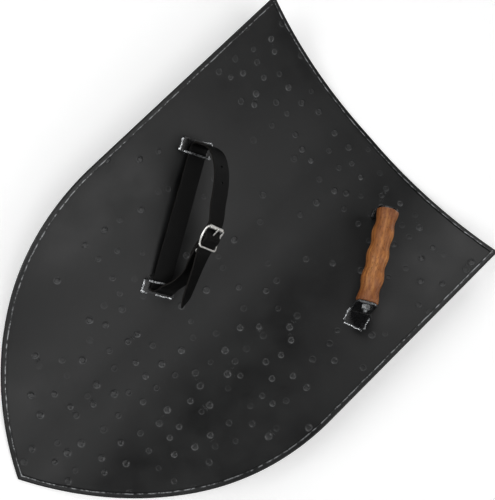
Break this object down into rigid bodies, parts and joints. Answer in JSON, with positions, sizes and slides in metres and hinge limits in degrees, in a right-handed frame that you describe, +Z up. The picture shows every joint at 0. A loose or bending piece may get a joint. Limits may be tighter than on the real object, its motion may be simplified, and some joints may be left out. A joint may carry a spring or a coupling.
{
  "type": "heater shield",
  "caption": "Heater shield: hammered steel sheet bent about its long axis, hemmed edge, with a wooden finger grip and a buckled leather arm belt on the back.",
  "frame": {"origin": "under the middle of the shield, on the surface that its front face lies on", "axes": "+Y from the tip to the straight top edge along the shield's long axis, +Z up out of the hollow back, +X toward the hand grip"},
  "size_m": [0.427, 0.61, 0.0859],
  "materials": {
    "shield_plate": "satin black paint over hammered steel",
    "brackets": "satin black paint over welded angle",
    "grip": "turned and oiled, warm brown",
    "bright_steel": "zinc bright",
    "arm_belt": "smooth black leather",
    "buckle": "bright nickel plate"
  },
  "bodies": {
    "root": {"shield_plate": "shield_plate", "handle_bracket_upper": "brackets", "handle_bracket_lower": "brackets", "grip": "grip", "handle_bolt": "bright_steel", "handle_nut": "bright_steel", "belt_keeper_upper": "brackets", "belt_keeper_lower": "brackets", "arm_belt": "arm_belt", "buckle_frame": "buckle", "buckle_roller": "buckle", "buckle_prong": "buckle", "belt_rivet_left": "bright_steel", "belt_rivet_right": "bright_steel"}
  },
  "joints": []
}
